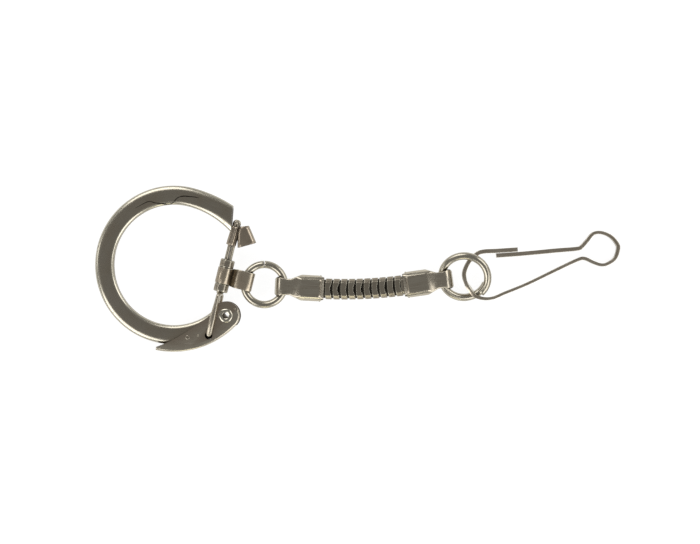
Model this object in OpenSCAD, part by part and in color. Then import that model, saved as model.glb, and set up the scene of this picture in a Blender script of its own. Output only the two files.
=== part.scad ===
// Belt key clip: a lever-locked key ring, a square snake chain and a one-piece spring hook.
// It lies flat. The origin is the centre of the key ring on the surface below it,
// +X runs towards the hook and +Z is up.

/* [Key ring] */
// Outside diameter of the key ring
ring_d = 31.6; // [28:0.2:40]
// Width of the rolled band, across the ring
band_w = 3.8; // [3.4:0.1:4.2]
// Thickness of the rolled band
band_h = 2; // [1.8:0.1:2.2]
// Sheet of the rolled band
band_wall = 0.35; // [0.25:0.05:0.45]
// Radius of the rolled edges
band_edge_r = 0.7; // [0.4:0.05:0.85]
// Outside radius of the end that opens outwards
flare_r = 27; // [24:0.5:32]
// Direction in which the ring starts to open
flare_a = 75; // [70:1:80]
// Distance from the cut mouth to the middle of the gate
mouth_gap = 0.65; // [0.6:0.05:1.2]
// Lean of the cut mouth
mouth_lean = 4.6; // [0:0.2:8]

/* [Lever] */
// Direction of the lever pivot from the ring's centre
pivot_a = -43.7; // [-46:0.1:-42]
// Distance of the lever pivot inside the ring's outside
pivot_inset = 1.27; // [1.1:0.01:1.5]
// Sheet of the lever
lever_t = 0.4; // [0.3:0.05:0.5]
// Reach of the folded edge beyond the ring's outside
lever_reach = 1.5; // [1.4:0.05:1.7]
// Radius of the rounded head
head_r = 2.8; // [2.6:0.05:2.85]
// Direction of the thumb tip from the ring's centre
tip_a = -101.8; // [-106:0.2:-98]
// Height of the thumb tip, across the lever
tip_w = 0.65; // [0.5:0.05:0.9]
// Direction in which the open edge meets the ring's inner side
root_a = -54; // [-56:1:-52]
// Distance of the open edge inside the ring's outside there
root_inset = 3.35; // [3.2:0.05:3.6]
// Gap between the ring and the lever's cheeks
cheek_gap = 0.1; // [0.08:0.01:0.14]

/* [Lever eyelet] */
// Outside diameter of the eyelet's barrel
eyelet_d = 1.6; // [1.4:0.05:1.8]
// Hole through the eyelet
eyelet_bore = 1; // [0.8:0.05:1.1]
// Diameter of the rolled flanges
flange_d = 2.8; // [2.4:0.1:3]
// Height of the rolled flanges
flange_h = 0.18; // [0.12:0.02:0.2]
// Running clearance round the barrel
eyelet_play = 0.05; // [0.03:0.01:0.08]

/* [Gate] */
// Wire of the gate
gate_wire = 0.75; // [0.7:0.01:0.78]
// Lean of the gate from the Y direction
gate_lean = 13.9; // [13:0.1:15]
// Length from the lower pivot to the top of the bend, as a share of the ring's diameter
gate_len_share = 0.7475; // [0.742:0.0005:0.75]
// Gap between the two strands of the hairpin
strand_gap = 0.1; // [0.05:0.01:0.15]
// Direction of the gate pivot from the ring's centre
foot_a = -63.1; // [-63.6:0.1:-62.8]
// Distance of the gate pivot inside the ring's outside
foot_inset = 0.1; // [0:0.05:0.2]
// Gap between the strands and the lever's cheeks
straddle_gap = 0.27; // [0.26:0.01:0.3]
// Clearance round the gate's turned-in ends, which sit loosely in their holes
foot_play = 0.4; // [0.3:0.05:0.45]

/* [Gate catch] */
// Length of the sheet folded round one strand
sheath_len = 3.8; // [3.4:0.1:4]
// Distance from the hairpin's top down to that sheet
sheath_drop = 1.37; // [1.3:0.01:1.6]
// Distance from the hairpin's top down to the middle of the tab
tab_drop = 4.1; // [3.9:0.1:4.4]
// Sheet of the catch
catch_t = 0.3; // [0.25:0.05:0.35]
// Thickness of the folded thumb tab
tab_h = 2.3; // [2:0.1:2.6]
// Reach of the thumb tab from the strand that it is folded round
tab_reach = 3.78; // [3.3:0.02:3.8]
// Length of the thumb tab along its rolled edge
tab_len = 3.7; // [3.4:0.1:3.9]
// Turn of the thumb tab from the hairpin
tab_lean = 37; // [34:1:39]

/* [Swivel sleeve] */
// Length of the sleeve
sleeve_len = 6.6; // [6:0.1:6.6]
// Outside diameter of the sleeve
sleeve_d = 2.9; // [2.8:0.05:3]
// Bore of the sleeve
sleeve_bore = 2; // [1.9:0.05:2.1]
// Diameter of the groove that holds the strap
groove_d = 2.35; // [2.3:0.05:2.5]
// Gap between the lever's head and the sleeve
sleeve_rise = 0.9; // [0.88:0.01:1]

/* [Link strap] */
// Width of the strap round the sleeve
strap_w = 3.2; // [3:0.1:3.4]
// Width of the strap's loop
loop_w = 3.7; // [3.5:0.1:3.8]
// Sheet of the strap
strap_t = 0.3; // [0.25:0.05:0.35]
// Length of the strap's loop, outside
loop_len = 4.1; // [4.05:0.05:4.4]
// Thickness of the strap's loop, outside
loop_h = 3.4; // [3.3:0.1:3.6]
// Running clearance of the strap on the sleeve
strap_play = 0.05; // [0.04:0.01:0.07]

/* [Jump rings] */
// Diameter of the chain side ring to the middle of its wire
ring_a_d = 8; // [7.9:0.05:8.1]
// Length of the hook side ring to the middle of its wire
ring_b_d = 9.2; // [9.1:0.05:9.3]
// Width of that ring, which is pulled a little oval, as a share of its length
ring_b_w_share = 0.95; // [0.94:0.01:1]
// Distance of its wire inside the end of the cap's loop
ring_b_seat = 0.3; // [0.2:0.05:0.4]
// Wire of both jump rings
jump_wire = 1.5; // [1.4:0.02:1.5]
// Butted split of the chain side ring
split_gap = 0.12; // [0.05:0.01:0.2]
// Tilt of the hook side ring
ring_b_tilt = 13.5; // [13:0.1:14]
// Tilt of each of its halves, which parts its lapped ends
lap_tilt = 6.5; // [6.4:0.1:7]
// Direction of the upper end of the hook side ring
lap_from = -45; // [-46:1:-40]
// Direction of its lower end
lap_to = -21; // [-30:1:-16]

/* [End caps] */
// Length from the middle of the loop to the mouth
cap_len = 8.15; // [8:0.05:8.6]
// Width of the cap's body
cap_w = 5.15; // [5:0.05:5.4]
// Thickness of the cap's body
cap_h = 5.2; // [5.1:0.05:5.4]
// Sheet of the cap
cap_t = 0.45; // [0.4:0.01:0.46]
// Inner radius of the cap's loop
cap_loop_r = 1.45; // [1.4:0.01:1.6]
// Width of the cap's loop
cap_loop_w = 3.8; // [3.6:0.1:3.9]
// Width of the cap's neck
cap_neck_w = 3.2; // [3:0.1:3.3]
// Length of the full-width body
cap_body_len = 4.8; // [4.6:0.1:5]
// Length of the crimped mouth
crimp_len = 1; // [0.8:0.1:1.2]
// Depth of the crimp on each side
crimp_d = 0.35; // [0.25:0.05:0.4]
// Width of the cap's chamfered edges
cap_chamfer = 0.85; // [0.6:0.05:1]

/* [Snake chain] */
// Number of chain links
link_count = 10; // [6:1:12]
// Length from link to link
link_pitch = 1.55; // [1.5:0.01:1.6]
// Width and thickness of a link
link_w = 4.1; // [4:0.05:4.2]
// Width of a link's chamfered edges
link_chamfer = 0.75; // [0.5:0.05:0.85]
// Least gap between links
link_gap = 0.27; // [0.25:0.01:0.3]
// Depth of the curve on a link's leading edge
link_bow = 0.2; // [0.15:0.01:0.25]
// Depth of the curve on a link's trailing edge
link_dish = 0.35; // [0.3:0.01:0.38]
// Sheet of the skirt at the back of a link
skirt_t = 0.16; // [0.14:0.01:0.18]
// Running clearance of the front of a link in the skirt before it
nest_gap = 0.07; // [0.06:0.005:0.08]
// Reach of that front before the joint
nest_len = 0.42; // [0.38:0.01:0.44]
// Wall of that front
nest_wall = 0.25; // [0.2:0.01:0.26]
// Width of the neck that joins links
neck_w = 2.6; // [2.5:0.05:2.6]
// Width of the chamfered edges of the neck
neck_chamfer = 0.45; // [0.4:0.05:0.5]
// Side clearance of the neck in the lip that traps its flange
lip_gap = 0.06; // [0.05:0.01:0.07]
// Sheet of the neck's flange and of the lip that traps it
neck_t = 0.2; // [0.18:0.01:0.2]
// Heading of the chain at the key ring end
chain_a0 = -3; // [-5:0.5:0]
// Change of heading from link to link
chain_step = 1; // [0.8:0.05:1.2]

/* [Spring hook] */
// Length of the hook
hook_len = 30.8; // [30:0.1:31.6]
// Thickness of the spring strip, as a share of the hook's length
strip_t_share = 0.0243; // [0.02:0.0005:0.0255]
// Width of the spring strip, as it stands on the surface
strip_w = 1.3; // [1.1:0.05:1.4]
// Clearance in the bend where the spring arm starts
bend_play = 0.06; // [0.04:0.01:0.1]

/* [Hidden] */

$fn = 64;
nickel = [0.66, 0.64, 0.59];
nickel_dark = [0.50, 0.48, 0.44];
nickel_bright = [0.80, 0.79, 0.74];
// Overrun of cuts
over = 0.5;
// Cut that runs past the whole clasp
clear_cut = 2 * ring_d;
// Degrees by which the opened end runs past its cut, and starts inside the round run
flare_past = 10;
flare_lap = 1;
// Length of the solid end behind the pivot, as a share of the eyelet
tongue_share = 1.5;
// Step between two runs that make one body, as a share of the band's sheet
flare_step_share = 1 / 30;
// Distances from the lever's head to where the strands are fully spread, and on to where they meet,
// as shares of the gate's wire
spread_share = 0.384;
gather_share = 0.4;
// Length of the strap's pinch, as a share of its sheet
pinch_share = 1.17;
// Radius of the loop's corners, as a share of its thickness
loop_edge_share = 0.3;
// Turn of the chain side ring from the square of the gate
ring_a_turn = 1.5;
// Rounding of the loop's edges where the ring comes out, as a share of the cap's sheet
loop_round_share = 0.6;
// End of a cap's neck, as a share of its length before the body
neck_end_share = 0.36;
// Plan of the loop's end: places as shares of its outside, and the width of its tip as a share of its width
loop_tip_share = 0.8;
loop_from_share = 0.75;
loop_to_share = 0.45;
// Play of the flange behind its lip, and of a link's front before the plate that it faces,
// as shares of the gap between links
neck_play_share = 0.66;
nest_play_share = 0.8;
// Radius of the bend where the spring arm starts, as a share of the strip's thickness
knuckle_share = 0.55;
// Growth of a wire's round end over its radius
wire_end_share = 1.02;

function dir(a) = [cos(a), sin(a), 0];
function turn(v, a) = [v[0] * cos(a) - v[1] * sin(a), v[0] * sin(a) + v[1] * cos(a), v[2]];

// The middle of the caps, chain and jump rings stands half a cap above the surface
mid_z = cap_h / 2;

// Key ring
ring_r = ring_d / 2;
ring_mid_r = ring_r - band_w / 2;
seam_w = band_wall / 2;
seam_depth = band_wall / 2;
boss_r = band_w / 2;
flare_step = flare_step_share * band_wall;
flare_at = (ring_r - flare_r) * dir(flare_a);
tongue_len = tongue_share * eyelet_d;

// Lever
pivot_r = ring_r - pivot_inset;
pivot = pivot_r * dir(pivot_a);
lever_r = ring_r + lever_reach;
root_r = ring_r - root_inset;
lever_in = band_h / 2 + cheek_gap;
lever_out = lever_in + lever_t;
tip_r = lever_r - tip_w;

// Gate, in a frame with its foot at the origin and its hairpin along +Y
foot_r = ring_r - foot_inset;
foot = foot_r * dir(foot_a);
gate_len = gate_len_share * ring_d;
mouth_y = ring_mid_r * sin(pivot_a) + ring_r;
mouth_x = foot[0] + (mouth_y - foot[1]) * tan(gate_lean) - mouth_gap;
flare_end = acos((mouth_x - flare_at[0]) / (flare_r - band_w)) - flare_past;
wire_r = gate_wire / 2;
strand_x = (gate_wire + strand_gap) / 2;
strand_z = lever_out + straddle_gap + wire_r;
head_far = norm(pivot - foot) + head_r;
sleeve_y = head_far + sleeve_rise;
sleeve_mid = sleeve_y + sleeve_len / 2;
spread_y = head_far + spread_share * gate_wire;
gather_y = spread_y + gather_share * gate_wire;
gather_z = wire_r;
bend_y = gate_len - strand_x - wire_r;

// Catch on the hairpin's far strand
sheath_x = strand_gap / 2;
sheath_w = gate_wire + catch_t;
sheath_h = gate_wire + 2 * catch_t;
tab_y = gate_len - tab_drop;
sheath_y = gate_len - sheath_drop - sheath_len;

// The clasp leans until the far side of its ring rests on the surface
lean_x = foot[0];
clasp_tilt = asin((mid_z - band_h / 2) / (ring_r - band_edge_r + lean_x));

// Strap, in the sleeve's frame with its loop along +X
strap_in = groove_d / 2 + strap_play;
strap_out = strap_in + strap_t;
loop_x = strap_out + pinch_share * strap_t;
loop_edge_r = loop_edge_share * loop_h;
strap_level = atan(cos(gate_lean) * tan(clasp_tilt));

// Positions along the chain, in the part's frame
sleeve_flat = foot + sleeve_mid * turn([0, 1, 0], -gate_lean);
sleeve_at = [
    lean_x + (sleeve_flat[0] - lean_x) * cos(clasp_tilt),
    sleeve_flat[1],
    mid_z + (sleeve_flat[0] - lean_x) * sin(clasp_tilt)
];
jump_r = jump_wire / 2;
ring_a_r = ring_a_d / 2;
ring_b_r = ring_b_d / 2;
// The chain side ring's wire lies in the strap's loop
wire_a_bow = ring_a_r * (1 - cos(asin(loop_w / ring_a_d)));
wire_a_reach = loop_x + loop_len - strap_t - jump_r - link_gap - wire_a_bow;
ring_a_heading = ring_a_turn - gate_lean;
ring_a_at = sleeve_at + (wire_a_reach + ring_a_r) * dir(ring_a_heading);
cap_a_wire = [ring_a_at[0], ring_a_at[1], mid_z] + ring_a_r * dir(2 * chain_a0);
chain_start = cap_a_wire + cap_len * dir(chain_a0);
function joint_at(k) = k == 0 ? chain_start : joint_at(k - 1) + link_pitch * dir(chain_a0 + k * chain_step);
chain_a1 = chain_a0 + (link_count + 1) * chain_step;
chain_end = joint_at(link_count);
cap_b_wire = chain_end + cap_len * dir(chain_a1);
ring_b_at = cap_b_wire + (ring_b_r - ring_b_seat) * dir(chain_a1);

// End caps, in a frame with the loop's middle at the origin and the mouth along +X
cap_loop_out = cap_loop_r + cap_t;
loop_round = loop_round_share * cap_t;
cap_shoulder_x = cap_len - cap_body_len;
cap_neck_x = neck_end_share * cap_shoulder_x;

// Links, in a frame with the leading joint at the origin and the trailing joint along +X
link_edge = link_gap / 2;
skirt_w = link_w - 2 * skirt_t;
skirt_chamfer = link_chamfer - skirt_t / 2;
nest_w = skirt_w - 2 * nest_gap;
nest_chamfer = skirt_chamfer - nest_gap / 2;
room_w = nest_w - 2 * nest_wall;
room_chamfer = nest_chamfer - nest_wall / 2;
lip_w = neck_w + 2 * lip_gap;
flange_w = lip_w + (room_w - lip_w) / 2;
flange_x = neck_t - nest_len + neck_play_share * link_gap;
plate_x = -nest_len - nest_play_share * link_gap;

// Hook, in a frame with the middle of the jump ring at the origin
strip_t = strip_t_share * hook_len;
hook_sag = asin((mid_z - strip_w / 2) / hook_len);
knuckle_r = knuckle_share * strip_t;
// Points of the strip as shares of the hook's length: the body from the end of its short arm,
// round the nose, the lower arm and the eye to the bend; then the spring arm from there.
// Their widths are shares of the strip's thickness.
hook_body_shares = [
    [0.342, 0.176], [0.206, 0.167], [0.125, 0.163], [0.079, 0.148], [0.027, 0.098], [-0.003, 0.032],
    [0.001, -0.024], [0.027, -0.072], [0.067, -0.121], [0.121, -0.141], [0.183, -0.137], [0.258, -0.106],
    [0.403, -0.047], [0.576, 0.036], [0.725, 0.106], [0.777, 0.118], [0.838, 0.092], [0.885, 0.077],
    [0.924, 0.082], [0.976, 0.118], [0.998, 0.181], [0.989, 0.216], [0.947, 0.262], [0.885, 0.286],
    [0.833, 0.277], [0.794, 0.232], [0.758, 0.193]
];
body_widths = [
    1.14, 1.14, 1.12, 1.08, 1.05, 1.05, 1.05, 1, 0.95, 0.85, 0.78, 0.76,
    0.76, 0.8, 0.85, 0.9, 0.85, 0.82, 0.82, 0.88, 1, 0.98, 0.88, 0.84,
    0.86, 0.92, 0.98
];
arm_widths = [0.98, 1.05, 1.14, 1.14, 1.14, 1.14];
arm_shares = [
    [0.758, 0.193], [0.729, 0.181], [0.600, 0.170], [0.476, 0.158], [0.340, 0.146], [0.203, 0.1365]
];
hook_steps = 4;

// A point on the smooth curve through points p, between points i and i + 1
function at_end(p, i) = i < 0 ? 2 * p[0] - p[1] : i >= len(p) ? 2 * p[len(p) - 1] - p[len(p) - 2] : p[i];
function curve(p, i, t) =
    let (a = at_end(p, i - 1), b = p[i], c = at_end(p, i + 1), d = at_end(p, i + 2))
    0.5 * (2 * b + (c - a) * t + (2 * a - 5 * b + 4 * c - d) * t * t + (3 * b - a - 3 * c + d) * t * t * t);
function smooth(p, steps) = [
    for (i = [0:len(p) - 2], s = [0:steps - 1]) curve(p, i, s / steps),
    p[len(p) - 1]
];
function side(p, i, w) =
    let (v = at_end(p, i + 1) - at_end(p, i - 1))
    [p[i][0], p[i][1]] + w * [-v[1], v[0]] / norm([v[0], v[1]]);
// Points of a strip with their widths, and the outline of the strip
function strip_path(shares, widths) = smooth([
    for (i = [0:len(shares) - 1])
        [hook_len * shares[i][0], hook_len * shares[i][1], strip_t * widths[i]]
], hook_steps);
function strip_outline(p) = concat(
    [for (i = [0:len(p) - 1]) side(p, i, p[i][2] / 2)],
    [for (i = [len(p) - 1:-1:0]) side(p, i, -p[i][2] / 2)]
);
// Outline of a w by h box with round corners of radius r
function round_box(w, h, r) = [
    for (q = [0:3], s = [0:5])
        let (a = 90 * q + 18 * s, sx = q == 0 || q == 3 ? 1 : -1, sy = q < 2 ? 1 : -1)
        [sx * (w / 2 - r) + r * cos(a), sy * (h / 2 - r) + r * sin(a)]
];
// Outline through points p above the X axis, then back through their mirror images below it
function mirrored(p) = concat(
    [for (i = [0:len(p) - 1]) [p[i][0], -p[i][1]]],
    [for (i = [len(p) - 1:-1:0]) p[i]]
);
function chamfer_box(w, h, c) = [
    [w / 2, h / 2 - c], [w / 2 - c, h / 2], [c - w / 2, h / 2], [-w / 2, h / 2 - c],
    [-w / 2, c - h / 2], [c - w / 2, -h / 2], [w / 2 - c, -h / 2], [w / 2, c - h / 2]
];

// The clasp's pieces are drawn about its middle plane, then leaned onto the surface
module clasp_pose() {
    translate([lean_x, 0, mid_z])
        rotate([0, -clasp_tilt, 0])
            translate([-lean_x, 0, 0])
                children();
}

module gate_pose() {
    clasp_pose()
        translate(foot)
            rotate([0, 0, -gate_lean])
                children();
}

// Rolled band of the key ring along an arc of outside radius r, seen from the arc's centre
module band_arc(r, from_a, to_a, inset) {
    rotate([0, 0, from_a])
        rotate_extrude(angle = to_a - from_a, $fn = 128)
            translate([r - band_w / 2, 0])
                polygon(round_box(band_w - 2 * inset, band_h - 2 * inset, band_edge_r - inset));
}

// The opened end starts a hair inside the round run, so that the two are one body
module band(inset) {
    band_arc(ring_r, flare_a, 360 + pivot_a, inset);
    translate(flare_at)
        band_arc(flare_r, flare_end, flare_a + flare_lap, inset + flare_step);
}

// Key ring: a rolled C with an open mouth, a seam inside it and a solid pierced end
module ring_body() {
    color(nickel)
        clasp_pose()
            difference() {
                union() {
                    band(0);
                    translate(ring_mid_r * dir(pivot_a))
                        cylinder(h = band_h, r = boss_r, center = true);
                }
                difference() {
                    band(band_wall);
                    translate(pivot)
                        cylinder(h = band_h, r = boss_r + tongue_len, center = true);
                }
                rotate([0, 0, flare_a])
                    rotate_extrude(angle = 360 - flare_a + tip_a, $fn = 128)
                        translate([ring_r - band_w - over, -seam_w / 2])
                            square([seam_depth + over, seam_w]);
                translate(pivot)
                    cylinder(h = band_h + over, d = eyelet_d + 2 * eyelet_play, center = true);
                translate([mouth_x, mouth_y, 0])
                    rotate([0, 0, -mouth_lean])
                        translate([0, -ring_r, -ring_r])
                            cube([ring_r, 2 * ring_r, 2 * ring_r]);
            }
}

// Outline of the lever: a spiral open edge from the thumb tip, the pivot, then back outside its fold
module lever_outline(grow) {
    polygon(concat(
        [for (s = [0:12])
            let (t = s / 12, a = tip_a + (root_a - tip_a) * t, r = tip_r - (tip_r - root_r) * (2 - t) * t)
            [r * cos(a), r * sin(a)]],
        [[pivot[0], pivot[1]]],
        [for (s = [0:8])
            let (a = pivot_a + (tip_a - pivot_a) * s / 8)
            (lever_r + grow) / cos(4) * [cos(a), sin(a)]]
    ));
}

// Lever: one sheet folded over the ring, with two cheeks and a web along its outer edge
module lever() {
    color(nickel_dark)
        clasp_pose()
            difference() {
                union() {
                    intersection() {
                        cylinder(h = 2 * lever_out, r = lever_r, center = true, $fn = 128);
                        linear_extrude(2 * lever_out, center = true)
                            lever_outline(lever_t);
                    }
                    translate(pivot)
                        cylinder(h = 2 * lever_out, r = head_r, center = true);
                }
                cylinder(h = 2 * lever_in, r = lever_r - lever_t, center = true, $fn = 128);
                translate(pivot)
                    cylinder(h = 2 * lever_in, r = head_r - lever_t, center = true);
                translate(pivot)
                    rotate([0, 0, pivot_a])
                        translate([0, 0, -lever_in])
                            cube([2 * head_r, 2 * head_r, 2 * lever_in]);
                translate(pivot)
                    cylinder(h = 2 * lever_out + over, d = eyelet_d, center = true);
                translate(foot)
                    cylinder(h = 2 * lever_out + over, r = wire_r + foot_play, center = true);
            }
}

// Lever eyelet: a hollow rivet with a rolled flange on each cheek
module lever_eyelet() {
    color(nickel_bright)
        clasp_pose()
            translate(pivot)
                difference() {
                    union() {
                        cylinder(h = 2 * (lever_out + flange_h), d = eyelet_d, center = true);
                        for (s = [-1, 1])
                            translate([0, 0, s * (lever_out + flange_h / 2)])
                                cylinder(h = flange_h, d = flange_d, center = true);
                    }
                    cylinder(h = 2 * (lever_out + flange_h) + over, d = eyelet_bore, center = true);
                }
}

// A straight length of wire between two points, with a round end at the second one
module wire(a, b, r) {
    v = b - a;
    translate(a)
        rotate([0, acos(v[2] / norm(v)), atan2(v[1], v[0])])
            cylinder(h = norm(v), r = r, $fn = 32);
    translate(b)
        sphere(r = wire_end_share * r, $fn = 32);
}

// Gate: a wire hairpin whose strands spread over the lever's head and turn in through its cheeks
module gate_bail() {
    color(nickel_bright)
        gate_pose() {
            translate([0, bend_y, 0])
                rotate_extrude(angle = 180, $fn = 48)
                    translate([strand_x, 0])
                        circle(r = wire_r, $fn = 32);
            for (s = [-1, 1]) {
                wire([s * strand_x, bend_y, 0], [s * strand_x, gather_y + gate_wire, 0], wire_r);
                wire([s * strand_x, gather_y + gate_wire, 0], [s * wire_r, gather_y, s * gather_z], wire_r);
                wire([s * wire_r, gather_y, s * gather_z], [0, spread_y, s * strand_z], wire_r);
                wire([0, spread_y, s * strand_z], [0, 0, s * strand_z], wire_r);
                wire([0, 0, s * strand_z], [0, 0, s * (lever_in + wire_r)], wire_r);
            }
        }
}

// Gate catch: a sheet folded round the far strand of the hairpin, which ends in a hollow thumb tab
module gate_catch() {
    color(nickel_dark)
        gate_pose()
            difference() {
                union() {
                    translate([sheath_x, sheath_y, -sheath_h / 2])
                        cube([sheath_w, sheath_len, sheath_h]);
                    intersection() {
                        translate([sheath_x, sheath_y - over, -tab_h / 2])
                            cube([clear_cut, clear_cut, tab_h]);
                        tab_pose()
                            translate([0, -tab_len / 2, -tab_h / 2])
                                cube([tab_reach, tab_len, tab_h]);
                    }
                }
                tab_pose()
                    translate([sheath_w, -tab_len, catch_t - tab_h / 2])
                        cube([tab_reach - sheath_w - catch_t, 2 * tab_len, tab_h - 2 * catch_t]);
                translate([sheath_x - over, sheath_y - over, 0])
                    linear_extrude(gate_wire, center = true)
                        square([gate_wire + over, sheath_len + 4 * over]);
            }
}

module tab_pose() {
    translate([strand_x, tab_y, 0])
        rotate([0, 0, tab_lean])
            children();
}

// Swivel sleeve: a rolled tube that slides on the gate, grooved for the strap
module swivel_sleeve() {
    color(nickel)
        gate_pose()
            translate([0, sleeve_mid, 0])
                rotate([90, 0, 0])
                    difference() {
                        cylinder(h = sleeve_len, d = sleeve_d, center = true);
                        cylinder(h = sleeve_len + over, d = sleeve_bore, center = true);
                        difference() {
                            cylinder(h = strap_w + 2 * strap_play, d = sleeve_d + over, center = true);
                            cylinder(h = strap_w + over, d = groove_d, center = true);
                        }
                    }
}

module strap_pose() {
    gate_pose()
        translate([0, sleeve_mid, 0])
            rotate([0, strap_level, 0])
                rotate([90, 0, 0])
                    children();
}

// Link strap: one band bent round the sleeve, pinched, and bent again into a loop
module link_strap() {
    room_len = loop_len - 2 * strap_t;
    room_h = loop_h - 2 * strap_t;
    color(nickel)
        strap_pose()
            difference() {
                union() {
                    cylinder(h = strap_w, r = strap_out, center = true);
                    translate([strap_in, -strap_t, -strap_w / 2])
                        cube([loop_x - strap_in + strap_t, 2 * strap_t, strap_w]);
                    linear_extrude(loop_w, center = true)
                        translate([loop_x + loop_len / 2, 0])
                            polygon(round_box(loop_len, loop_h, loop_edge_r));
                }
                cylinder(h = loop_w + over, r = strap_in, center = true);
                linear_extrude(loop_w + over, center = true)
                    translate([loop_x + loop_len / 2, 0])
                        polygon(round_box(room_len, room_h, loop_edge_r - strap_t));
            }
}

// Chain side jump ring: a round wire ring, butted at its split
module jump_ring_a() {
    split_a = split_gap / ring_a_r * 180 / PI;
    color(nickel)
        translate(ring_a_at)
            rotate([0, 0, 90 + split_a / 2])
                rotate_extrude(angle = 360 - split_a, $fn = 96)
                    translate([ring_a_r, 0])
                        circle(r = jump_r, $fn = 32);
}

// Body, loop and mouth of an end cap, whose mouth stands back from the joint
module cap_shell(back) {
    rim_x = cap_len - back;
    crimp_x = rim_x - crimp_len;
    difference() {
        intersection() {
            rotate([90, 0, 0])
                linear_extrude(cap_w, center = true)
                    polygon(concat(
                        [for (s = [0:16]) let (a = 90 + 180 * s / 16) cap_loop_out * [cos(a), sin(a)]],
                        mirrored([
                            [cap_neck_x, cap_loop_out], [cap_shoulder_x, cap_h / 2], [crimp_x, cap_h / 2],
                            [rim_x, cap_h / 2 - crimp_d]
                        ])
                    ));
            linear_extrude(cap_h, center = true)
                polygon(mirrored([
                    [-cap_loop_out, loop_tip_share * cap_loop_w / 2],
                    [-loop_from_share * cap_loop_out, cap_loop_w / 2],
                    [-loop_to_share * cap_loop_out, cap_loop_w / 2], [0, cap_neck_w / 2],
                    [cap_neck_x, cap_neck_w / 2], [cap_shoulder_x, cap_w / 2], [crimp_x, cap_w / 2],
                    [rim_x, cap_w / 2 - crimp_d]
                ]));
            translate([-cap_loop_out, 0, 0])
                rotate([90, 0, 90])
                    linear_extrude(cap_len + cap_loop_out)
                        polygon(chamfer_box(cap_w, cap_h, cap_chamfer));
        }
        rotate([90, 0, 0])
            cylinder(h = cap_w + over, r = cap_loop_r, center = true);
        for (s = [-1, 1])
            rotate([90 * s, 0, 0])
                translate([0, 0, cap_loop_w / 2 - 2 * loop_round])
                    cylinder(
                        h = 2 * loop_round + over, r1 = cap_loop_r, r2 = cap_loop_r + loop_round + over / 2
                    );
        translate([0, -cap_w, -cap_loop_r])
            cube([cap_neck_x, 2 * cap_w, 2 * cap_loop_r]);
    }
}

module cap_room(from_x, to_x) {
    translate([from_x, 0, 0])
        rotate([90, 0, 90])
            linear_extrude(to_x - from_x)
                polygon(chamfer_box(cap_w - 2 * cap_t, cap_h - 2 * cap_t, cap_chamfer - cap_t / 2));
}

// Chamfered square bar of width w along X
module square_bar(from_x, to_x, w, c) {
    translate([from_x, 0, 0])
        rotate([90, 0, 90])
            linear_extrude(to_x - from_x)
                polygon(chamfer_box(w, w, c));
}

// Back of a piece of the chain, with the joint behind it at the origin: the hollow behind its plate
module back_room(from_x) {
    square_bar(plate_x, from_x, skirt_w, skirt_chamfer);
}

// Neck on that plate, whose flange the lip of the next piece traps
module neck() {
    square_bar(plate_x - neck_t, flange_x + neck_t, neck_w, neck_chamfer);
    square_bar(flange_x, flange_x + neck_t, flange_w, neck_chamfer);
}

// Front of a piece of the chain, with the joint before it at the origin, and the hollow inside it
module nest(to_x) {
    square_bar(-nest_len, to_x, nest_w, nest_chamfer);
}

module nest_room(to_x) {
    square_bar(-nest_len - over, neck_t, lip_w, neck_chamfer);
    square_bar(neck_t - nest_len, to_x, room_w, room_chamfer);
}

// First end cap: the chain's first link starts in its mouth
module end_cap_a() {
    color(nickel_dark)
        translate(cap_a_wire)
            rotate([0, 0, chain_a0]) {
                difference() {
                    cap_shell(link_gap);
                    cap_room(cap_shoulder_x, cap_len + plate_x - cap_t);
                    translate([cap_len, 0, 0])
                        back_room(over);
                }
                translate([cap_len, 0, 0])
                    neck();
            }
}

// Second end cap: its mouth closes on a front that starts in the last link
module end_cap_b() {
    color(nickel_dark)
        translate(cap_b_wire)
            rotate([0, 0, 180 + chain_a1])
                difference() {
                    union() {
                        cap_shell(link_edge);
                        translate([cap_len, 0, 0])
                            rotate([0, 0, 180])
                                nest(link_edge + cap_t);
                    }
                    cap_room(cap_shoulder_x, cap_len - link_edge - cap_t);
                    translate([cap_len, 0, 0])
                        rotate([0, 0, 180])
                            nest_room(link_edge + 2 * cap_t);
                }
}

// Chain link: a short square shell with curved edges, a narrow front and a skirt at its back
module chain_link(k) {
    bow_r = (link_w * link_w / 4 + link_bow * link_bow) / (2 * link_bow);
    dish_r = (link_w * link_w / 4 + link_dish * link_dish) / (2 * link_dish);
    color(nickel)
        translate(joint_at(k - 1))
            rotate([0, 0, chain_a0 + k * chain_step]) {
                difference() {
                    union() {
                        difference() {
                            square_bar(link_edge - link_bow, link_pitch - link_edge, link_w, link_chamfer);
                            difference() {
                                translate([link_edge - 2 * link_bow, -link_w, -link_w])
                                    cube([2 * link_bow + link_edge, 2 * link_w, 2 * link_w]);
                                translate([link_edge - link_bow + bow_r, 0, 0])
                                    cylinder(h = 3 * link_w, r = bow_r, center = true, $fn = 96);
                            }
                            translate([link_pitch - link_edge - link_dish + dish_r, 0, 0])
                                cylinder(h = 3 * link_w, r = dish_r, center = true, $fn = 96);
                        }
                        nest(link_edge + nest_wall);
                    }
                    nest_room(link_pitch + plate_x - neck_t);
                    translate([link_pitch, 0, 0])
                        back_room(over);
                }
                translate([link_pitch, 0, 0])
                    neck();
            }
}

// Run of the hook side ring, tilted about the point of the ring that the end cap holds
module lapped_arc(from_a, to_a, tilt, r) {
    translate([-ring_b_r, 0, 0])
        rotate([0, tilt, 0])
            translate([ring_b_r, 0, 0])
                rotate([0, 0, from_a])
                    rotate_extrude(angle = to_a - from_a, $fn = 96)
                        translate([ring_b_r, 0])
                            circle(r = r, $fn = 32);
}

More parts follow.
